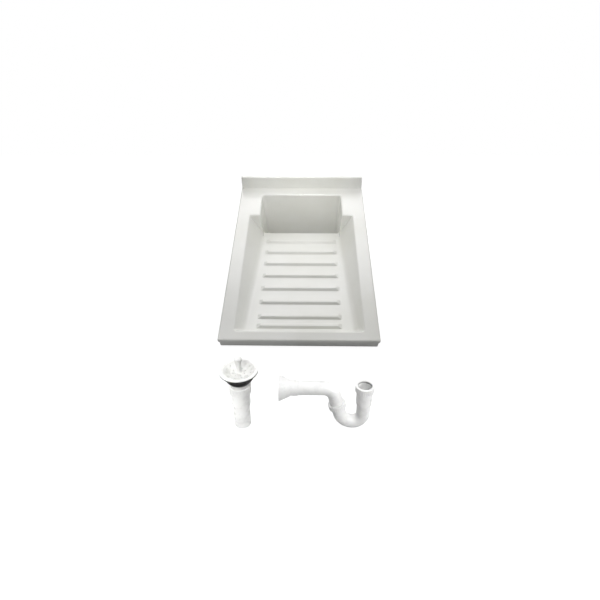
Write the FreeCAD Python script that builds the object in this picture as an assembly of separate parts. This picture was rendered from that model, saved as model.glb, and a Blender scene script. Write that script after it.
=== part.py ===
import FreeCAD, Part
import math
import os

# Moulded washboard laundry sink with its waste fitting and its tubular trap, set out as three loose things on a floor.
# Millimetres. Every piece is drawn in an upright frame of its own and then placed: the sink is drawn level, with its rim
# plane at z 0 and its front lip at y 0, and is tipped at the end until skirt and well both stand on the floor.

VEC = FreeCAD.Vector
ORIGIN = VEC(0, 0, 0)
X_AXIS, Y_AXIS, Z_AXIS = VEC(1, 0, 0), VEC(0, 1, 0), VEC(0, 0, 1)

# ---------------------------------------------------------------- driving sizes of the sink
sink_width = 500.0            # over the rolled lip
sink_length = 750.0
wall = 5.0
skirt_height = 35.0           # from the rim's plane down to the skirt's lower edge
skirt_inset = 4.0             # the skirt stands back under the lip by this much
lip_round = 6.5               # the lip's upper edge
lip_flat = 2.0                # upright band between the two rounded edges
lip_foot_round = 3.0          # and its lower edge
outline_radius = 8.0
inside_radius = 2.0           # the same corner seen from underneath
deck_side = 48.0              # flat deck left and right of the trough
deck_front = 36.0
deck_back = 54.0
well_run = 126.0              # the well's mouth from front to back
shoulder = 42.0               # flat shoulder left and right of the well

upstand_height = 52.0
upstand_thick = 12.0
upstand_round = 4.0
upstand_inset = 1.5           # each end stays this far inside the lip at its foot
upstand_end_draft = 3.0       # and leans in by this much more at its top

board_drop_front = 34.0       # board below the rim at the trough's front edge
board_drop_back = 98.0        # the same at the well
trough_side_slope = 0.52      # inward run of a side wall per unit of depth
trough_front_slope = 0.40
trough_corner = 10.0          # front corners at the rim
low_corner_share = 0.9        # and at the tool's foot, far under the board, as a share of the tool's half width there
trough_floor_round = 24.0
gate_lap = 26.0               # the opening into the well starts this far ahead of the trough's back wall

well_depth = 335.0
well_draft_side = 16.0
well_draft_end = 12.0
well_corner = 13.0
well_floor_round = 9.0
well_floor = 8.0
mouth_round = 7.0             # rounded edge between deck and bowl
board_nose = 8.0              # rounded edge between board and well

rib_count = 8
rib_end_gap = 12.0             # between a rib's round end and the trough's side at the board's deep end
rib_end_slope = 13.0          # length over which an end slopes down to the board
rib_width = 22.0
rib_crest = 11.0
rib_height = 8.0
rib_corner = 4.5
rib_edge_round = 3.0
rib_root = 2.0                # a rib reaches this far into the board
rib_first = 80.0              # first rib from the front lip
rib_second = 120.0
rib_last_gap = 53.0           # from the last rib to the well

drain_play = 1.0              # radial play round the waste in its hole and recess
dimple_radius = 16.0          # shallow thumb mark in the edge behind the well
dimple_depth = 2.6

# what follows from them
lip_height = lip_round + lip_flat + lip_foot_round
trough_back = sink_length - deck_back - well_run          # where the board ends and the well begins
trough_half_width = sink_width / 2 - deck_side
well_half_width = trough_half_width - shoulder
rib_half_length = trough_half_width - board_drop_back * trough_side_slope - rib_end_gap
rib_pitch = (trough_back - rib_last_gap - rib_second) / (rib_count - 2)

# ---------------------------------------------------------------- driving sizes of the waste fitting
tail_bore = 34.0
tail_outside = 38.0
tail_shoulder_outside = 42.0
tail_shoulder_wall = 2.0
tail_shoulder_floor = 4.0
tail_lip_outside = 44.4
tail_lip_thick = 3.0
tail_step_height = 58.0
tail_length = 98.0
tail_edge = 1.0               # chamfer at the tail's end and shoulder
thread_outside = 45.0
thread_pitch = 2.5
screw_gap = 0.05              # radial play of every screwed and sliding fit
barrel_bore = 38.0
flange_over_tail = 52.0       # from the tail's upper end to the flange's top
flange_outside = 84.0
flange_edge = 2.6
flange_chamfer = 0.8
flange_wall = 2.8
dish_mouth = 74.0
dish_floor = 43.0
dish_depth = 8.0
dish_funnel = 1.2             # fall from the dish's floor into the bore
barrel_collar = 2.0           # solid collar round the barrel under the dish
drain_washer_thick = 2.0
gasket_outside_top = 84.0
gasket_outside_bottom = 69.0
gasket_height = 10.0
gasket_band = 2.0             # upright band under the flange
gasket_play = 0.2
friction_ring_outside = 58.0
friction_ring_play = 0.6
friction_ring_thick = 1.2
lock_nut_flats = 58.0
lock_nut_height = 15.0
lock_nut_bevel = 9.0          # radial size of the bevel at the nut's lower corners
lock_nut_bevel_height = 11.0
lock_nut_turned = 5.0         # degrees from corner to the right
tail_nut_outside = 48.6
tail_nut_height = 20.0
tail_nut_floor = 4.0
tail_nut_chamfer = 0.8
grip_count = 24               # grip grooves round each slip nut
grip_depth = 0.7
tail_grip_margin = 3.0        # plain band above and below the tail nut's grooves
basket_outside = 69.0
basket_wall = 1.7
basket_rim = 0.6              # flat on top of the basket's rim
basket_floor_outside = 40.0
basket_drop = 5.6
basket_hole = 3.4
basket_outer_holes = 14
basket_inner_holes = 8
inner_ring_share = 0.68       # inner ring of holes, of the basket floor's radius
seat_play = 0.02              # the basket stands off the dish by this much
post_diameter = 12.5
post_flare = 1.0
post_flare_height = 2.0
post_taper = 0.8
post_foot_diameter = 7.0
rivet_rim = 2.0
rivet_thick = 1.4
knob_diameter = 18.5
knob_height = 32.0            # top of the knob above the flange
knob_thick = 9.0
stopper_outside = 36.5
stopper_thick = 3.0
stopper_bevel = 3.0
stopper_band = 1.0

# ---------------------------------------------------------------- driving sizes of the trap
trap_tube_outside = 30.5
trap_tube_bore = 26.5
bend_tight = 23.0             # centre-line radius of the bend on the inlet side
bend_wide = 31.0              # and on the outlet side
union_tilt = 15.0             # degrees that the outlet leg leans out from upright
inlet_socket_bore = 32.2
inlet_socket_outside = 35.0
inlet_socket_foot = 66.0
inlet_socket_top = 110.0
socket_floor = 2.0            # solid ring where a socket grows out of the tube
socket_round = 1.0
inlet_nut_outside = 42.0
inlet_nut_height = 15.0
inlet_washer_thick = 2.6
washer_play = 0.4
nut_cap = 2.6                 # inward cap of the two trap nuts
nut_chamfer = 0.8
nut_grip_margin = 2.0
union_socket_start = 14.0     # along the leaning leg, from the end of its bend
union_socket_length = 11.0
union_socket_outside = 34.8
union_nut_outside = 40.0
union_nut_height = 12.4
union_washer_thick = 2.4
arm_play = 0.3                # the arm's foot stands off the socket's floor
union_turns = 3               # turns that free the union nut
leg_length = 50.0             # straight leaning leg from its bend to the arm's elbow
elbow_radius = 27.0
trap_reach = 186.0            # from the inlet's axis to the arm's open end
spigot_outside = 30.0         # the arm's open end is turned down to enter a wall pipe's seal
spigot_length = 14.0
rosette_wide = 58.0
rosette_narrow = 37.0
rosette_cone = 24.0
rosette_edge = 1.0
rosette_collar_outside = 34.0
rosette_collar = 18.0
rosette_wall = 1.8
rosette_overhang = 3.0        # how far the cover reaches past the arm's open end

# ---------------------------------------------------------------- where the three things stand
waste_x, waste_y = -124.0, -341.0    # both measured from the skirt's lower front edge
trap_x, trap_y = 152.0, -346.0       # inlet axis of the trap

# ---------------------------------------------------------------- small helpers

overrun = 1.0                 # how far a cutting tool reaches past what it cuts
touch = 0.01                  # two places closer than this are the same
near = 1.0                    # and an edge within this of a place is the one meant


def rect(half_x, y0, y1, z, radius):
    """A level wire with rounded corners, symmetric about x 0."""
    r = radius
    xs, ys = (-half_x, half_x), (y0, y1)
    k = r * (1 - math.sqrt(0.5))
    p = [VEC(xs[0] + r, ys[0], z), VEC(xs[1] - r, ys[0], z), VEC(xs[1], ys[0] + r, z), VEC(xs[1], ys[1] - r, z),
         VEC(xs[1] - r, ys[1], z), VEC(xs[0] + r, ys[1], z), VEC(xs[0], ys[1] - r, z), VEC(xs[0], ys[0] + r, z)]
    m = [VEC(xs[1] - k, ys[0] + k, z), VEC(xs[1] - k, ys[1] - k, z), VEC(xs[0] + k, ys[1] - k, z),
         VEC(xs[0] + k, ys[0] + k, z)]
    edges = [Part.LineSegment(p[0], p[1]).toShape(), Part.Arc(p[1], m[0], p[2]).toShape(),
             Part.LineSegment(p[2], p[3]).toShape(), Part.Arc(p[3], m[1], p[4]).toShape(),
             Part.LineSegment(p[4], p[5]).toShape(), Part.Arc(p[5], m[2], p[6]).toShape(),
             Part.LineSegment(p[6], p[7]).toShape(), Part.Arc(p[7], m[3], p[0]).toShape()]
    return Part.Wire(edges)


def plate(half_x, y0, y1, z0, z1, radius):
    """A level plate with rounded corners."""
    return Part.Face(rect(half_x, y0, y1, z0, radius)).extrude(VEC(0, 0, z1 - z0))


def frustum(low, high, radius):
    """A six-sided block between two level rectangles (half width, y0, y1, z), its upright edges rounded."""
    corners = []
    for half_x, y0, y1, z in (low, high):
        corners.append([VEC(-half_x, y0, z), VEC(half_x, y0, z), VEC(half_x, y1, z), VEC(-half_x, y1, z)])
    a, b = corners
    quads = [a[::-1], b] + [[a[i], a[(i + 1) % 4], b[(i + 1) % 4], b[i]] for i in range(4)]
    block = Part.makeSolid(Part.makeShell([Part.Face(Part.makePolygon(c + [c[0]])) for c in quads]))
    if radius:
        upright = [e for e in block.Edges if e.BoundBox.ZLength > abs(high[3] - low[3]) - touch]
        block = block.makeFillet(radius, upright)
    return block


def turn(points):
    """A solid of revolution about z from (radius, height) points."""
    wire = Part.makePolygon([VEC(r, 0, z) for r, z in points] + [VEC(points[0][0], 0, points[0][1])])
    return Part.Face(wire).revolve(ORIGIN, Z_AXIS, 360)


def tube(r_out, r_in, z0, z1):
    return turn([(r_in, z0), (r_out, z0), (r_out, z1), (r_in, z1)])


def rod(radius, start, end):
    """A round bar from one point to another."""
    way = end - start
    return Part.makeCylinder(radius, way.Length, start, way)


def elbow(radius, start, centre, angle):
    """A bend in the xz plane: a disc at the start point swung about the bend's centre."""
    disc = Part.Face(Part.Wire([Part.makeCircle(radius, start, Y_AXIS.cross(start - centre))]))
    return disc.revolve(centre, Y_AXIS, angle)


def soften(shape, radius, chosen):
    """Rounds the edges whose bounding boxes are chosen, and leaves the shape as it is when none is."""
    edges = [e for e in shape.Edges if chosen(e.BoundBox)]
    return shape.makeFillet(radius, edges) if edges else shape


def one(shape):
    """The single solid of a shape, cleaned of seams."""
    solids = shape.removeSplitter().Solids
    if len(solids) != 1:
        raise ValueError("piece has %d solids" % len(solids))
    return solids[0]


def ring_of(tool, count, half_step=False):
    """Copies of a tool evenly about z, as one compound."""
    copies = []
    for i in range(count):
        copy = tool.copy()
        copy.rotate(ORIGIN, Z_AXIS, 360 * (i + (0.5 if half_step else 0)) / count)
        copies.append(copy)
    return Part.Compound(copies)


def grips(nut, radius, z0, z1):
    """Cuts shallow upright grooves round a nut for grip, each with sloping sides and a flat floor."""
    inner, outer = radius - grip_depth, radius + grip_depth
    profile = [VEC(outer, -2 * grip_depth, z0), VEC(inner, -grip_depth / 3, z0), VEC(inner, grip_depth / 3, z0),
               VEC(outer, 2 * grip_depth, z0)]
    groove = Part.Face(Part.makePolygon(profile + profile[:1])).extrude(VEC(0, 0, z1 - z0))
    return nut.cut(ring_of(groove, grip_count))


# ---------------------------------------------------------------- sink, drawn level

board_angle = math.atan2(board_drop_back - board_drop_front, trough_back - deck_front)
deep = board_drop_back + 3 * trough_floor_round      # the trough tool reaches below the board before it is cut off
trough_corner_low = low_corner_share * (trough_half_width - deep * trough_side_slope)
half_width = sink_width / 2
well_back = sink_length - deck_back


def board_z(y):
    return -board_drop_front - (y - deck_front) * math.tan(board_angle)


def above_board(shape, y0, grow):
    """Cuts away what lies under the board's plane, moved down by the wall for the outside."""
    cutter = Part.makeBox(2 * sink_width, 2 * sink_length, 2 * deep, VEC(-sink_width, -sink_length / 2, -2 * deep))
    cutter.rotate(ORIGIN, X_AXIS, -math.degrees(board_angle))
    cutter.translate(VEC(0, y0, board_z(y0) - grow / math.cos(board_angle)))
    return shape.cut(cutter)


def trough(grow, top):
    """The trough's hollow, or its outside when grown by the wall, cut off along the board's plane."""
    half = trough_half_width + grow
    y0, y1 = deck_front - grow, trough_back + grow

    def level(z):
        return half + z * trough_side_slope, y0 - z * trough_front_slope, y1, z

    block = frustum(level(-deep), level(top), 0)
    for side in (-1, 1):
        front = [e for e in block.Edges if e.BoundBox.ZLength > deep / 2 and e.BoundBox.YMax < (y0 + y1) / 2 and
                 side * e.BoundBox.XMin > 0]
        rising = front[0].Vertexes[0].Z < front[0].Vertexes[-1].Z
        radii = (trough_corner_low, trough_corner) if rising else (trough_corner, trough_corner_low)
        block = block.makeFillet(radii[0], radii[1], front)
    body = above_board(block, y0, grow)
    floor_top = near - board_drop_front - grow
    return soften(body, trough_floor_round, lambda b: b.ZMax < floor_top and b.YMin < y1 - near / 2)


def well(grow, floor_extra, top):
    """The deep well's hollow, or its outside."""
    bottom = -well_depth - floor_extra

    def level(z):
        inset = -z / well_depth
        return (well_half_width + grow - inset * well_draft_side, trough_back - grow + inset * well_draft_end,
                well_back + grow - inset * well_draft_end, z)

    body = frustum(level(bottom), level(top), well_corner)
    return soften(body, well_floor_round + grow, lambda b: b.ZMax < bottom + touch)


def gate(top):
    """The opening between trough and well, above the board."""
    start, end = trough_back - gate_lap, (trough_back + well_back) / 2
    low = (well_half_width - deep / well_depth * well_draft_side, start, end, -deep)
    high = (well_half_width + well_draft_side * top / well_depth, start, end, top)
    return above_board(frustum(low, high, 0), deck_front, 0)


# rim: a rolled lip over a skirt that stands back, both open underneath
lip = plate(half_width, 0, sink_length, -lip_height, 0, outline_radius)
lip = soften(lip, lip_round, lambda b: b.ZMin > -touch)
lip = soften(lip, lip_foot_round, lambda b: b.ZMax < touch - lip_height)
skirt = plate(half_width - skirt_inset, skirt_inset, sink_length - skirt_inset, -skirt_height, -lip_flat - lip_round,
              outline_radius - skirt_inset)
inset = skirt_inset + wall
under = plate(half_width - inset, inset, sink_length - inset, -skirt_height - overrun, -wall, inside_radius)

upstand_foot = (half_width - upstand_inset, sink_length - upstand_thick, sink_length, -2 * lip_round)
upstand_top = (half_width - upstand_inset - upstand_end_draft, sink_length - upstand_thick, sink_length, upstand_height)
upstand = soften(frustum(upstand_foot, upstand_top, 0), upstand_round, lambda b: b.ZMax > near)
back_fill = Part.makeBox(sink_width - 2 * outline_radius, inset, skirt_height,
                         VEC(outline_radius - half_width, sink_length - inset, -skirt_height))

shell = lip.fuse(skirt).cut(under)
shell = shell.fuse([upstand, back_fill, trough(wall, -wall / 2), well(wall, well_floor, -wall / 2)])
shell = shell.cut(trough(0, overrun).fuse([well(0, 0, overrun), gate(overrun)])).removeSplitter()


def at_mouth(b):
    return (abs(b.ZMax) < touch and abs(b.ZMin) < touch and b.YMin > deck_front - near and
            b.YMax < well_back + near and max(b.XMax, -b.XMin) < trough_half_width + near)


def at_nose(b):
    return b.YLength < near and abs(b.YMin - trough_back) < near and b.XLength > well_half_width and \
        abs(b.ZMin + board_drop_back) < near


shell = soften(shell, mouth_round, at_mouth)
shell = soften(shell, board_nose, at_nose)

# ribs stand on the board, each a bar with sloping sides and ends and a rounded crest
lo, hi = rib_width / 2, rib_crest / 2
spread = rib_root / rib_height
foot = (rib_half_length + spread * rib_end_slope, -lo - spread * (lo - hi), lo + spread * (lo - hi), -rib_root)
crest = (rib_half_length - rib_end_slope, -hi, hi, rib_height)
bar = soften(frustum(foot, crest, rib_corner), rib_edge_round, lambda b: b.ZMin > rib_height - touch)
bar.rotate(ORIGIN, X_AXIS, -math.degrees(board_angle))
rib_places = [rib_first] + [rib_second + i * rib_pitch for i in range(rib_count - 1)]
ribs = []
for y in rib_places:
    rib = bar.copy()
    rib.translate(VEC(0, y, board_z(y)))
    ribs.append(rib)

# drain hole with a coned recess, and the thumb mark in the edge behind the well
drain_y = (trough_back + well_back) / 2
drain_radius = thread_outside / 2 + drain_play
recess_depth = well_floor / 2
drain = rod(drain_radius, VEC(0, drain_y, -well_depth - 2 * well_floor), VEC(0, drain_y, overrun - well_depth))
recess = Part.makeCone(drain_radius, flange_outside / 2 + drain_play, recess_depth,
                       VEC(0, drain_y, -well_depth - recess_depth), Z_AXIS)
edge_chord = mouth_round * (1 - math.sqrt(0.5))
dimple_away = (dimple_radius - dimple_depth) * math.sqrt(0.5)
dimple = Part.makeSphere(dimple_radius, VEC(0, well_back + edge_chord - dimple_away, dimple_away - edge_chord))
shell = one(shell.fuse(ribs).cut([drain, recess, dimple]))

# tip: the line that touches the skirt's lower edge and the round bottom edge of the well is laid on the floor
foot_round = well_floor_round + wall
foot_lean = math.atan2(well_draft_end, well_depth)
foot_wall = trough_back - wall + (well_depth + well_floor) * math.tan(foot_lean)
foot_y = foot_wall + foot_round * (1 / math.cos(foot_lean) - math.tan(foot_lean)) - skirt_inset
foot_z = -well_depth - well_floor + foot_round + skirt_height
tip = math.atan2(-foot_z, foot_y) + math.asin(foot_round / math.hypot(foot_y, foot_z))

sink_shell = shell.copy()
sink_shell.translate(VEC(0, -skirt_inset, skirt_height))
sink_shell.rotate(ORIGIN, X_AXIS, math.degrees(tip))

# ---------------------------------------------------------------- waste fitting, upright on its tail

r_thread = thread_outside / 2
flange_plane = tail_length + flange_over_tail
barrel_low = tail_length + drain_washer_thick
under_flange = flange_plane - flange_edge
cone_low = flange_plane - dish_depth - flange_wall

flange_body = one(turn([
    (flange_outside / 2, under_flange), (flange_outside / 2, flange_plane - flange_chamfer),
    (flange_outside / 2 - flange_chamfer, flange_plane), (dish_mouth / 2, flange_plane),
    (dish_floor / 2, flange_plane - dish_depth), (barrel_bore / 2, flange_plane - dish_depth - dish_funnel),
    (barrel_bore / 2, barrel_low), (r_thread, barrel_low), (r_thread, cone_low), (r_thread + barrel_collar, cone_low),
    (dish_mouth / 2, under_flange)]))

gasket_foot = under_flange - gasket_height
gasket_bore = r_thread + barrel_collar + gasket_play
gasket = one(turn([
    (gasket_bore, gasket_foot), (gasket_outside_bottom / 2, gasket_foot),
    (gasket_outside_top / 2, under_flange - gasket_band), (gasket_outside_top / 2, under_flange),
    (dish_mouth / 2, under_flange), (gasket_bore, cone_low)]))
ring_foot = gasket_foot - friction_ring_thick
friction_ring = one(tube(friction_ring_outside / 2, r_thread + friction_ring_play, ring_foot, gasket_foot))

nut_foot = ring_foot - lock_nut_height
corner = lock_nut_flats / math.sqrt(3)
hexagon = Part.makePolygon([VEC(corner * math.cos(math.radians(lock_nut_turned + 60 * i)),
                                corner * math.sin(math.radians(lock_nut_turned + 60 * i)), nut_foot) for i in range(7)])
bevel = turn([(0, nut_foot), (corner - lock_nut_bevel, nut_foot), (corner, nut_foot + lock_nut_bevel_height),
              (corner, ring_foot), (0, ring_foot)])
lock_nut = Part.Face(hexagon).extrude(VEC(0, 0, lock_nut_height)).common(bevel)
lock_nut = one(lock_nut.cut(rod(r_thread + screw_gap, VEC(0, 0, nut_foot - overrun), VEC(0, 0, ring_foot + overrun))))

shoulder_bore = tail_shoulder_outside / 2 - tail_shoulder_wall
tail_pipe = one(turn([
    (tail_bore / 2, 0), (tail_outside / 2 - tail_edge, 0), (tail_outside / 2, tail_edge),
    (tail_outside / 2, tail_step_height), (tail_shoulder_outside / 2 - tail_edge, tail_step_height),
    (tail_shoulder_outside / 2, tail_step_height + tail_edge), (tail_shoulder_outside / 2, tail_length - tail_lip_thick),
    (tail_lip_outside / 2, tail_length - tail_lip_thick), (tail_lip_outside / 2, tail_length),
    (shoulder_bore, tail_length), (shoulder_bore, tail_step_height + tail_shoulder_floor),
    (tail_bore / 2, tail_step_height)]))
tail_washer = one(tube(tail_lip_outside / 2, shoulder_bore, tail_length, barrel_low))
tail_nut_foot = tail_length - tail_lip_thick - tail_nut_floor
tail_nut_top = tail_nut_foot + tail_nut_height
tail_nut = turn([
    (tail_shoulder_outside / 2 + screw_gap, tail_nut_foot), (tail_nut_outside / 2 - tail_nut_chamfer, tail_nut_foot),
    (tail_nut_outside / 2, tail_nut_foot + tail_nut_chamfer), (tail_nut_outside / 2, tail_nut_top - tail_nut_chamfer),
    (tail_nut_outside / 2 - tail_nut_chamfer, tail_nut_top), (r_thread + screw_gap, tail_nut_top),
    (r_thread + screw_gap, tail_nut_foot + tail_nut_floor),
    (tail_shoulder_outside / 2 + screw_gap, tail_nut_foot + tail_nut_floor)])
tail_nut = one(grips(tail_nut, tail_nut_outside / 2, tail_nut_foot + tail_grip_margin, tail_nut_top - tail_grip_margin))

# the basket lies in the dish on its rim, its plug hangs in the barrel's mouth
dish_slope = dish_depth / ((dish_mouth - dish_floor) / 2)
rim_under = flange_plane - dish_slope * (dish_mouth - basket_outside) / 2 + seat_play
r_basket, r_floor, r_foot = basket_outside / 2, basket_floor_outside / 2, post_foot_diameter / 2
basket_under = rim_under - basket_drop
basket_floor_top = basket_under + basket_wall
basket = turn([
    (r_foot, basket_under), (r_floor, basket_under), (r_basket, rim_under), (r_basket, rim_under + basket_wall),
    (r_basket - basket_rim, rim_under + basket_wall), (r_floor - basket_rim, basket_floor_top),
    (r_foot, basket_floor_top)])
holes = []
for count, radius in ((basket_outer_holes, (r_basket + r_floor) / 2), (basket_inner_holes, r_floor * inner_ring_share)):
    hole = rod(basket_hole / 2, VEC(radius, 0, basket_under - overrun), VEC(radius, 0, flange_plane + basket_wall))
    holes.append(ring_of(hole, count, True))
basket = one(basket.cut(holes))

knob_top = flange_plane + knob_height
knob_foot = knob_top - knob_thick
r_knob, r_post = knob_diameter / 2, post_diameter / 2
stopper_under = basket_under - stopper_thick
knob = one(turn([
    (0, stopper_under - rivet_thick), (r_foot + rivet_rim, stopper_under - rivet_thick),
    (r_foot + rivet_rim, stopper_under), (r_foot, stopper_under), (r_foot, basket_floor_top),
    (r_post + post_flare, basket_floor_top), (r_post, basket_floor_top + post_flare_height),
    (r_post - post_taper, knob_foot), (r_knob - knob_thick / 9, knob_foot + knob_thick / 9),
    (r_knob, knob_foot + knob_thick / 3), (r_knob - knob_thick / 15, knob_top - knob_thick / 3),
    (r_knob - knob_thick / 3, knob_top - knob_thick / 9), (r_knob / 2, knob_top - knob_thick / 45), (0, knob_top)]))
plug = one(turn([
    (r_foot, stopper_under), (stopper_outside / 2 - stopper_bevel, stopper_under),
    (stopper_outside / 2, basket_under - stopper_band), (stopper_outside / 2, basket_under), (r_foot, basket_under)]))

# ---------------------------------------------------------------- trap, upright on its bend

r_tube, r_bore = trap_tube_outside / 2, trap_tube_bore / 2
low_axis = r_tube
tight_z, wide_z = low_axis + bend_tight, low_axis + bend_wide
lean = math.radians(union_tilt)
leg_way = VEC(-math.sin(lean), 0, math.cos(lean))      # direction of the leaning leg
leg_foot = VEC(-bend_tight - bend_wide * math.cos(lean), 0, wide_z - bend_wide * math.sin(lean))
inlet_run_top = inlet_socket_foot + socket_floor
union_socket_top = union_socket_start + union_socket_length
leg_run_top = union_socket_start + socket_floor


def on_leg(shape):
    """Moves what is drawn about z from height 0 onto the leaning leg."""
    shape = shape.copy()
    shape.rotate(ORIGIN, Y_AXIS, -union_tilt)
    shape.translate(leg_foot)
    return shape


def bend_run(radius, extra):
    """The bend's whole run as one solid, lengthened at both open ends by the extra value."""
    inlet = rod(radius, VEC(0, 0, tight_z), VEC(0, 0, inlet_run_top + extra))
    tight = elbow(radius, VEC(0, 0, tight_z), VEC(-bend_tight, 0, tight_z), 90)
    wide = elbow(radius, VEC(-bend_tight, 0, low_axis), VEC(-bend_tight, 0, wide_z), 90 - union_tilt)
    return inlet.fuse([tight, wide, on_leg(rod(radius, ORIGIN, VEC(0, 0, leg_run_top + extra)))])


inlet_socket = rod(inlet_socket_outside / 2, VEC(0, 0, inlet_socket_foot), VEC(0, 0, inlet_socket_top))
inlet_socket = soften(inlet_socket, socket_round, lambda b: b.ZMax < inlet_socket_foot + touch)
inlet_hole = rod(inlet_socket_bore / 2, VEC(0, 0, inlet_run_top), VEC(0, 0, inlet_socket_top + overrun))
union_socket = on_leg(rod(union_socket_outside / 2, VEC(0, 0, union_socket_start), VEC(0, 0, union_socket_top)))
union_hole = on_leg(rod(r_tube + screw_gap, VEC(0, 0, leg_run_top), VEC(0, 0, union_socket_top + overrun)))
j_bend = bend_run(r_tube, 0).fuse([inlet_socket, union_socket])
j_bend = one(j_bend.cut([bend_run(r_bore, overrun), inlet_hole, union_hole]))


def slip_nut(thread_r, pass_r, out_r, top, height):
    """A capped ring nut with grip grooves, open below."""
    foot = top - height
    nut = turn([
        (thread_r + screw_gap, foot), (out_r - nut_chamfer, foot), (out_r, foot + nut_chamfer), (out_r, top - nut_chamfer),
        (out_r - nut_chamfer, top), (pass_r, top), (pass_r, top - nut_cap), (thread_r + screw_gap, top - nut_cap)])
    return one(grips(nut, out_r, foot + nut_grip_margin, top - nut_grip_margin))


inlet_nut_top = inlet_socket_top + inlet_washer_thick + nut_cap
inlet_nut = slip_nut(inlet_socket_outside / 2, inlet_socket_bore / 2, inlet_nut_outside / 2, inlet_nut_top,
                     inlet_nut_height)
inlet_washer = one(tube(inlet_socket_outside / 2 - washer_play, inlet_socket_bore / 2 + screw_gap, inlet_socket_top,
                        inlet_socket_top + inlet_washer_thick))

union_nut_top = union_socket_top + union_washer_thick + nut_cap
union_nut = on_leg(slip_nut(union_socket_outside / 2, r_tube + screw_gap, union_nut_outside / 2, union_nut_top,
                            union_nut_height))
union_washer = on_leg(one(tube(union_socket_outside / 2 - washer_play, r_tube + screw_gap, union_socket_top,
                               union_socket_top + union_washer_thick)))

elbow_foot = leg_foot + leg_way * leg_length
elbow_centre = elbow_foot - VEC(math.cos(lean), 0, math.sin(lean)) * elbow_radius
arm_height = elbow_centre.z + elbow_radius
arm_start = VEC(elbow_centre.x, 0, arm_height)
arm_end = VEC(-trap_reach, 0, arm_height)


def arm_run(radius, extra):
    """The arm's leaning foot, elbow and level tube as one solid, lengthened at both open ends by the extra value."""
    foot = on_leg(rod(radius, VEC(0, 0, leg_run_top + arm_play - extra), VEC(0, 0, leg_length)))
    bend = elbow(radius, elbow_foot, elbow_centre, union_tilt - 90)
    return foot.fuse([bend, rod(radius, arm_start, arm_end - VEC(extra, 0, 0))])


spigot_ring = tube(r_tube + overrun, spigot_outside / 2, 0, spigot_length)
spigot_ring.rotate(ORIGIN, Y_AXIS, 90)
spigot_ring.translate(arm_end)
trap_arm = one(arm_run(r_tube, 0).cut([arm_run(r_bore, overrun), spigot_ring]))

# wall cover: a thin cone with a collar that slides on the arm, drawn along z and laid down along x
cover_r = r_tube + screw_gap
cover_length = rosette_collar + rosette_cone
rosette = turn([
    (cover_r, 0), (rosette_collar_outside / 2, 0), (rosette_collar_outside / 2, rosette_collar),
    (rosette_narrow / 2, rosette_collar), (rosette_wide / 2, cover_length - rosette_edge),
    (rosette_wide / 2, cover_length), (rosette_wide / 2 - rosette_wall, cover_length),
    (rosette_narrow / 2 - rosette_wall, rosette_collar + rosette_wall), (cover_r, rosette_collar + rosette_wall)])
rosette.rotate(ORIGIN, Y_AXIS, -90)
rosette.translate(arm_end + VEC(cover_length - rosette_overhang, 0, 0))
rosette = one(rosette)

# ---------------------------------------------------------------- place everything, origin under the middle of it all

waste = {"waste_flange_body": flange_body, "strainer_basket": basket, "basket_knob": knob, "basket_stopper": plug,
         "flange_gasket": gasket, "friction_ring": friction_ring, "lock_nut": lock_nut, "tail_washer": tail_washer,
         "tail_nut": tail_nut, "tail_pipe": tail_pipe}
trap = {"trap_j_bend": j_bend, "inlet_washer": inlet_washer, "inlet_nut": inlet_nut, "union_washer": union_washer,
        "union_nut": union_nut, "trap_arm": trap_arm, "wall_rosette": rosette}
pieces = {"sink_shell": sink_shell}
for name, shape in waste.items():
    shape.translate(VEC(waste_x, waste_y, 0))
    pieces[name] = shape
for name, shape in trap.items():
    shape.translate(VEC(trap_x, trap_y, 0))
    pieces[name] = shape

boxes = [s.optimalBoundingBox() for s in pieces.values()]
middle_y = (min(b.YMin for b in boxes) + max(b.YMax for b in boxes)) / 2
os.makedirs("parts", exist_ok=True)
for name, shape in pieces.items():
    shape.translate(VEC(0, -middle_y, 0))
    if not shape.isValid():
        raise ValueError("piece %s is not valid" % name)
    shape.exportStep("parts/%s.step" % name)
print("tip %.4f deg, board %.4f deg, middle %.4f, lowest %.4f" % (
    math.degrees(tip), math.degrees(board_angle), middle_y, min(b.ZMin for b in boxes)))
print("leg foot %.4f %.4f, arm height %.4f, arm start %.4f" % (leg_foot.x, leg_foot.z, arm_height, arm_start.x))
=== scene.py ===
import math

import bpy
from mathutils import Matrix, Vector


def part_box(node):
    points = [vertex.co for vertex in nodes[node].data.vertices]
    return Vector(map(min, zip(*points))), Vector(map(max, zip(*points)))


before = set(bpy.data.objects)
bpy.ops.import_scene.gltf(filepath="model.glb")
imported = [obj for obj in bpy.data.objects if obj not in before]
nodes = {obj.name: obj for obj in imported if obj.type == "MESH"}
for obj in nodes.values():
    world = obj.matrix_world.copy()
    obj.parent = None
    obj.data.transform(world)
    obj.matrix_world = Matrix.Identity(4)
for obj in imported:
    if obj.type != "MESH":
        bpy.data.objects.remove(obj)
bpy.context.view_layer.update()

# Laundry sink with its waste fitting and trap. Metres. The CAD nodes are the finished shapes.
# This script gives them their materials and sets up the studio. It adds no pieces.

# ---------------------------------------------------------------- shader writing


class Wire:
    """A shader output that can stand in a Python sum."""

    def __init__(self, paint, socket):
        self.paint, self.socket = paint, socket

    def __add__(self, other):
        return self.paint.math("ADD", self, other)

    def __mul__(self, other):
        return self.paint.math("MULTIPLY", self, other)

    def __sub__(self, other):
        return self.paint.math("SUBTRACT", self, other)

    def __rsub__(self, other):
        return self.paint.math("SUBTRACT", other, self)


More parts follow.
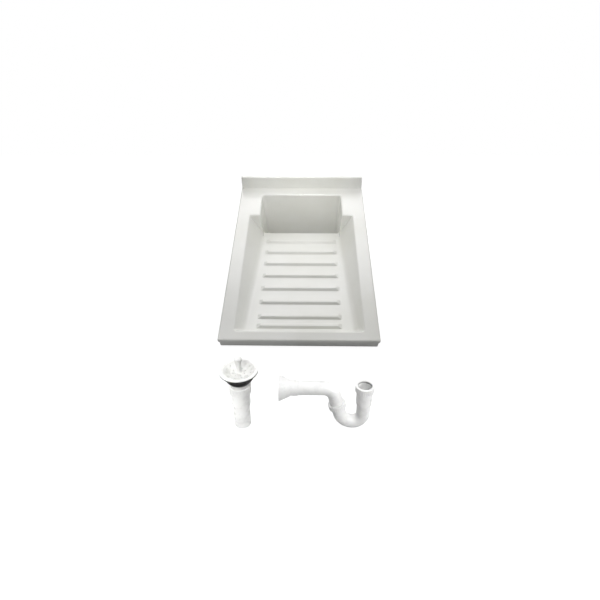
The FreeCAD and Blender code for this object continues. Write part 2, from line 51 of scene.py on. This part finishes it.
class Paint:
    """The node tree of a material or a world in the making."""

    def __init__(self, owner, coordinates="Object"):
        owner.use_nodes = True
        self.owner, self.tree = owner, owner.node_tree
        self.tree.nodes.clear()
        self.place = self.node("ShaderNodeTexCoord", out=coordinates)

    def feed(self, socket, value):
        """Links a shader output to a socket, or sets the socket to a plain value."""
        if isinstance(value, Wire):
            self.tree.links.new(value.socket, socket)
        else:
            socket.default_value = value

    def node(self, kind, settings=None, inputs=None, out=0):
        """Adds a node, its settings first and then its sockets, and gives back one output."""
        made = self.tree.nodes.new(kind)
        for key, value in (settings or {}).items():
            setattr(made, key, value)
        for key, value in (inputs or {}).items():
            self.feed(made.inputs[key], value)
        return Wire(self, made.outputs[out]) if len(made.outputs) else None

    def math(self, operation, a, b=0.0):
        """Works out one operation on shader outputs or plain numbers."""
        return self.node("ShaderNodeMath", {"operation": operation}, {0: a, 1: b})

    def noise(self, scale, detail=2.0, roughness=0.5, stretch=None):
        """Soft noise over the piece, scale in cells a metre, perhaps finer along one axis."""
        where = self.place
        if stretch:
            where = self.node("ShaderNodeMapping", {}, {"Vector": where, "Scale": stretch})
        return self.node("ShaderNodeTexNoise", {}, {"Vector": where, "Scale": scale,
                                                    "Detail": detail, "Roughness": roughness})

    def ramp(self, factor, low, high, a=0.0, b=1.0):
        """Runs the factor from low to high into a to b, smoothly and held at both ends."""
        return self.node("ShaderNodeMapRange", {"interpolation_type": "SMOOTHSTEP"},
                         {"Value": factor, "From Min": low, "From Max": high,
                          "To Min": a, "To Max": b})

    def mix(self, factor, a, b, data_type="RGBA"):
        """Mixes two colours or, with FLOAT, two numbers."""
        made = self.tree.nodes.new("ShaderNodeMix")
        made.data_type = data_type
        for key, value in (("Factor", factor), ("A", a), ("B", b)):
            self.feed(next(s for s in made.inputs if s.name == key and s.enabled), value)
        return Wire(self, next(s for s in made.outputs if s.enabled))

    def bump(self, height, strength, distance, under=None):
        """Raises the surface by a height, over another bump if there is one."""
        inputs = {"Height": height, "Strength": strength, "Distance": distance}
        if under:
            inputs["Normal"] = under
        return self.node("ShaderNodeBump", {}, inputs)

    def in_sight(self):
        """1 for a ray from the camera, from a reflection or through something clear, else 0."""
        camera, glossy, clear = (self.node("ShaderNodeLightPath", out=f"Is {kind} Ray")
                                 for kind in ("Camera", "Glossy", "Transmission"))
        return self.math("MAXIMUM", self.math("MAXIMUM", camera, glossy), clear)

    def finish(self, sockets):
        """Ends a material with its one surface shader."""
        surface = self.node("ShaderNodeBsdfPrincipled", {}, sockets)
        self.node("ShaderNodeOutputMaterial", {}, {"Surface": surface})
        return self.owner


def paint(name):
    """Starts a new material."""
    return Paint(bpy.data.materials.new(name))


def tone(r, g, b):
    """A colour given in the picture's own 0 to 255 values, for a shader."""
    def line(v):
        v /= 255
        return v / 12.92 if v <= 0.04045 else ((v + 0.055) / 1.055) ** 2.4
    return (line(r), line(g), line(b), 1.0)


# ---------------------------------------------------------------- finishes

NOISE_LOW, NOISE_HIGH = 0.3, 0.7    # the range that a noise nearly always stays in

resin_light, resin_dark = tone(243, 243, 239), tone(237, 237, 231)
resin_speck = tone(222, 221, 213)
fitting_light, fitting_dark = tone(245, 245, 243), tone(240, 240, 238)
basket_light, basket_dark = tone(230, 230, 228), tone(220, 220, 217)
trap_light, trap_dark = tone(242, 242, 241), tone(237, 237, 236)
nut_dark, nut_worn = tone(14, 14, 14), tone(38, 38, 37)
gasket_light, gasket_dark = tone(25, 25, 24), tone(9, 9, 9)
washer_light, washer_dark = tone(150, 150, 147), tone(122, 122, 120)
ring_light, ring_dark = tone(222, 220, 212), tone(205, 202, 192)

barrel_low, barrel_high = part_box("waste_flange_body")
barrel_axis = ((barrel_low[0] + barrel_high[0]) / 2, (barrel_low[1] + barrel_high[1]) / 2)
barrel_radius = 0.0225
barrel_top = barrel_high[2] - 0.0108    # the thread ends this far under the flange's top
thread_pitch, thread_depth = 0.0025, 0.0008
thread_fade = (0.0012, 0.0007)    # depths under the barrel's side between which it sets in
thread_run_out = 0.0008
WAVE_UNIT = math.pi / 10    # a wave texture's scale at which one band is one unit long


def moulded_sink():
    """Glossy warm white resin: slow waviness, fine skin, faint clouds and sparse dull specks."""
    p = paint("sink_gloss_resin")
    cloud = p.noise(5.0, detail=3.0)
    speck = p.noise(900.0, detail=1.0)
    color = p.mix(p.ramp(cloud, 0.35, NOISE_HIGH), resin_light, resin_dark)
    color = p.mix(p.ramp(speck, 0.66, 0.78, 0.0, 0.22), color, resin_speck)
    rough = p.ramp(p.noise(30.0, detail=3.0), NOISE_LOW, NOISE_HIGH, 0.22, 0.27)
    skin = p.bump(p.noise(420.0), strength=0.05, distance=0.0004)
    skin = p.bump(p.noise(14.0, detail=1.0), strength=0.05, distance=0.003, under=skin)
    return p.finish({"Base Color": color, "Roughness": rough, "Normal": skin, "IOR": 1.5,
                     "Coat Weight": 0.1, "Coat Roughness": 0.12})


def moulded_fitting(name, light, dark, grain=700.0, thread=None):
    """White injection-moulded plastic: soft shine, faint flow marks and perhaps a thread."""
    p = paint(name)
    flow = p.noise(18.0, detail=1.0, stretch=(1.0, 1.0, 2.4))
    color = p.mix(p.ramp(flow, 0.38, 0.66), light, dark)
    rough = p.ramp(p.noise(80.0), NOISE_LOW, NOISE_HIGH, 0.24, 0.36)
    skin = p.bump(p.noise(grain), strength=0.06, distance=0.0003)
    if thread:
        skin = p.bump(thread(p), strength=1.0, distance=thread_depth, under=skin)
    return p.finish({"Base Color": color, "Roughness": rough, "Normal": skin, "IOR": 1.49,
                     "Subsurface Weight": 0.08, "Subsurface Radius": (0.004, 0.004, 0.0035)})


def barrel_thread(p):
    """Rounded thread rings on the outside of the waste's barrel, below its solid collar."""
    x, y, z = (p.node("ShaderNodeSeparateXYZ", {}, {"Vector": p.place}, axis) for axis in "XYZ")
    dx, dy = x - barrel_axis[0], y - barrel_axis[1]
    radius = p.math("SQRT", dx * dx + dy * dy)
    outside = p.ramp(radius, barrel_radius - thread_fade[0], barrel_radius - thread_fade[1])
    below = 1 - p.ramp(z, barrel_top - thread_run_out, barrel_top)
    rings = p.node("ShaderNodeTexWave",
                   {"wave_type": "BANDS", "bands_direction": "Z", "wave_profile": "SIN"},
                   {"Vector": p.place, "Scale": WAVE_UNIT / thread_pitch,
                    "Distortion": 0.0, "Detail": 0.0}, 1)
    return rings * outside * below


def black_plastic():
    """Black moulded nut: fine grain, a dull sheen and slightly greyed patches from handling."""
    p = paint("nut_black_plastic")
    worn = p.ramp(p.noise(70.0, detail=4.0, roughness=0.62), 0.5, 0.78)
    rough = p.ramp(p.noise(140.0), NOISE_LOW, NOISE_HIGH, 0.42, 0.56)
    skin = p.bump(p.noise(900.0, detail=3.0), strength=0.18, distance=0.0004)
    return p.finish({"Base Color": p.mix(worn, nut_dark, nut_worn), "Roughness": rough,
                     "Normal": skin, "Specular IOR Level": 0.2})


def soft_rubber(name, light, dark, low=0.6, high=0.74):
    """Matt moulded rubber with a dusty bloom, its roughness between low and high."""
    p = paint(name)
    bloom = p.ramp(p.noise(48.0, detail=4.0, roughness=0.6), 0.48, 0.75)
    rough = p.ramp(p.noise(120.0), NOISE_LOW, NOISE_HIGH, low, high)
    skin = p.bump(p.noise(1100.0), strength=0.2, distance=0.0003)
    return p.finish({"Base Color": p.mix(bloom, dark, light), "Roughness": rough,
                     "Normal": skin, "Specular IOR Level": 0.12})


def slip_ring():
    """Pale pressed ring with a dull fibrous face."""
    p = paint("slip_ring_pale")
    fibre = p.noise(520.0, detail=4.0, roughness=0.7, stretch=(1.0, 3.0, 1.0))
    color = p.mix(p.ramp(fibre, 0.4, 0.65), ring_light, ring_dark)
    rough = p.ramp(fibre, NOISE_LOW, NOISE_HIGH, 0.55, 0.75)
    skin = p.bump(fibre, strength=0.2, distance=0.0003)
    return p.finish({"Base Color": color, "Roughness": rough, "Normal": skin})


def dress(material, *names):
    """Gives each named CAD node the one material."""
    for name in names:
        mesh = nodes[name].data
        mesh.materials.clear()
        mesh.materials.append(material)


dress(moulded_sink(), "sink_shell")
dress(moulded_fitting("flange_white_plastic", fitting_light, fitting_dark, thread=barrel_thread),
      "waste_flange_body")
dress(moulded_fitting("fitting_white_plastic", fitting_light, fitting_dark),
      "basket_knob", "tail_nut", "tail_pipe")
dress(moulded_fitting("basket_pale_plastic", basket_light, basket_dark, grain=500.0),
      "strainer_basket")
dress(moulded_fitting("trap_white_plastic", trap_light, trap_dark, grain=600.0),
      "trap_j_bend", "inlet_nut", "union_nut", "trap_arm", "wall_rosette")
dress(black_plastic(), "lock_nut")
dress(soft_rubber("gasket_black_rubber", gasket_light, gasket_dark), "flange_gasket", "tail_washer")
dress(soft_rubber("washer_grey_rubber", washer_light, washer_dark),
      "basket_stopper", "inlet_washer", "union_washer")
dress(slip_ring(), "friction_ring")

# ---------------------------------------------------------------- floor, light and camera

FLOOR_SIZE = 12
WHITE = (1.0, 1.0, 1.0, 1.0)
floor_grey = (0.3, 0.3, 0.3, 1.0)
floor_near, floor_far = 0.6, 1.5    # metres from the middle, between which the lamps fade out
lift_near, lift_far = 0.9, 1.0      # what makes the floor white there, by itself
sky_low, sky_high = -0.1, 0.8       # heights on the world's sphere between which its light sets in
sky_level = 0.05


def floor_paint():
    """White in sight and plain grey to the light, with the object's soft shadow kept."""
    p = paint("studio_floor")
    away = p.node("ShaderNodeVectorMath", {"operation": "LENGTH"}, {0: p.place}, "Value")
    glow = p.ramp(away, floor_near, floor_far, lift_near, lift_far)
    ground = p.node("ShaderNodeBsdfDiffuse", {}, {"Color": floor_grey})
    lift = p.node("ShaderNodeEmission", {}, {"Color": glow, "Strength": 1.0})
    bright = p.node("ShaderNodeAddShader", {}, {0: ground, 1: lift})
    surface = p.node("ShaderNodeMixShader", {}, {0: p.in_sight(), 1: ground, 2: bright})
    p.node("ShaderNodeOutputMaterial", {}, {"Surface": surface})
    return p.owner


def studio_world():
    """White in sight, and a faint light from above on everything else."""
    p = Paint(bpy.data.worlds.new("studio"), "Generated")
    height = p.node("ShaderNodeSeparateXYZ", {}, {"Vector": p.place}, "Z")
    level = p.ramp(height, sky_low, sky_high, 0.0, sky_level)
    strength = p.mix(p.in_sight(), level, 1.0, "FLOAT")
    back = p.node("ShaderNodeBackground", {}, {"Color": WHITE, "Strength": strength})
    p.node("ShaderNodeOutputWorld", {}, {"Surface": back})
    return p.owner


def lamp(name, kind, place, aim, power):
    """A lamp that looks at a point, power in watts. Gives back its data."""
    light = bpy.data.lights.new(name, kind)
    light.energy = power
    made = bpy.data.objects.new(name, light)
    made.location = place
    made.rotation_euler = (Vector(aim) - Vector(place)).to_track_quat("-Z", "Y").to_euler()
    bpy.context.scene.collection.objects.link(made)
    return light


def softbox(name, place, aim, power, size):
    """A rectangular area lamp, its size across and along."""
    light = lamp(name, "AREA", place, aim, power)
    light.shape = "RECTANGLE"
    light.size, light.size_y = size


def spot(name, place, aim, power, angle, radius, blend):
    """A round lamp of a radius, with a soft-edged cone of an angle in degrees."""
    light = lamp(name, "SPOT", place, aim, power)
    light.shadow_soft_size = radius
    light.spot_size, light.spot_blend = math.radians(angle), blend


bpy.ops.mesh.primitive_plane_add(size=FLOOR_SIZE, location=(0, 0, 0))
floor = bpy.context.object
floor.name = "floor"
floor.data.materials.append(floor_paint())
bpy.context.scene.world = studio_world()

# Wide lamps over the sink.
softbox("back_softbox", (0, 1.15, 2.1), aim=(0, 0.15, 0.2), power=19.5, size=(2.0, 1.5))
softbox("top_softbox", (0, 0.1, 2.2), aim=(0, 0.1, 0.2), power=8.4, size=(1.6, 1.6))
softbox("left_softbox", (-1.7, -0.3, 1.3), aim=(0, 0.1, 0.1), power=10.6, size=(1.2, 1.2))
softbox("right_softbox", (1.7, -0.3, 1.3), aim=(0, 0.1, 0.1), power=11, size=(1.2, 1.2))

# Narrow lamps from the front for the well's back wall and the upstand.
far_front = (0.0, -2.6, 1.2)
spot("upstand_lamp", far_front, aim=(0, 0.42, 0.40), power=172, angle=13, radius=0.3, blend=0.8)
spot("upstand_rim_lamp", far_front, aim=(0, 0.45, 0.47), power=48, angle=12, radius=0.1, blend=0.7)

# Narrow lamps for the waste fitting and the trap, which stand in front of the sink's dark skirt.
waste_x, trap_x, fittings_y = -0.123, 0.07, -0.525
spot("left_fitting_lamp", (-1.0, -1.25, 0.6), aim=(waste_x, fittings_y, 0.07), power=23, angle=10,
     radius=0.08, blend=0.4)
spot("right_fitting_lamp", (1.15, -1.25, 0.6), aim=(0.1, fittings_y, 0.05), power=33, angle=13,
     radius=0.08, blend=0.4)
spot("waste_lamp", (-0.35, -1.35, 0.85), aim=(waste_x, fittings_y, 0.085), power=29, angle=11,
     radius=0.05, blend=0.4)
spot("tail_lamp", (-0.3, -1.5, 0.35), aim=(waste_x, fittings_y, 0.035), power=9, angle=6.5,
     radius=0.03, blend=0.4)
spot("trap_lamp", (0.3, -1.35, 0.85), aim=(trap_x, fittings_y, 0.05), power=25, angle=14,
     radius=0.05, blend=0.35)
spot("strainer_lamp", (waste_x, -0.8, 1.3), aim=(waste_x, -0.53, 0.12), power=17, angle=7,
     radius=0.1, blend=0.5)

# The camera was fitted to the sink's rim, ribs and well edges in the picture.
camera = bpy.data.objects.new("camera", bpy.data.cameras.new("camera"))
camera.data.sensor_width = 36.0
camera.data.lens = 23.7
camera.data.clip_start = 0.05
camera.location = (0.02214, -1.23237, 0.65341)
camera.rotation_euler = [math.radians(angle) for angle in (64.7812, 0.0695, 0.981)]
bpy.context.scene.collection.objects.link(camera)
bpy.context.scene.camera = camera
bpy.context.scene.view_settings.view_transform = "Standard"
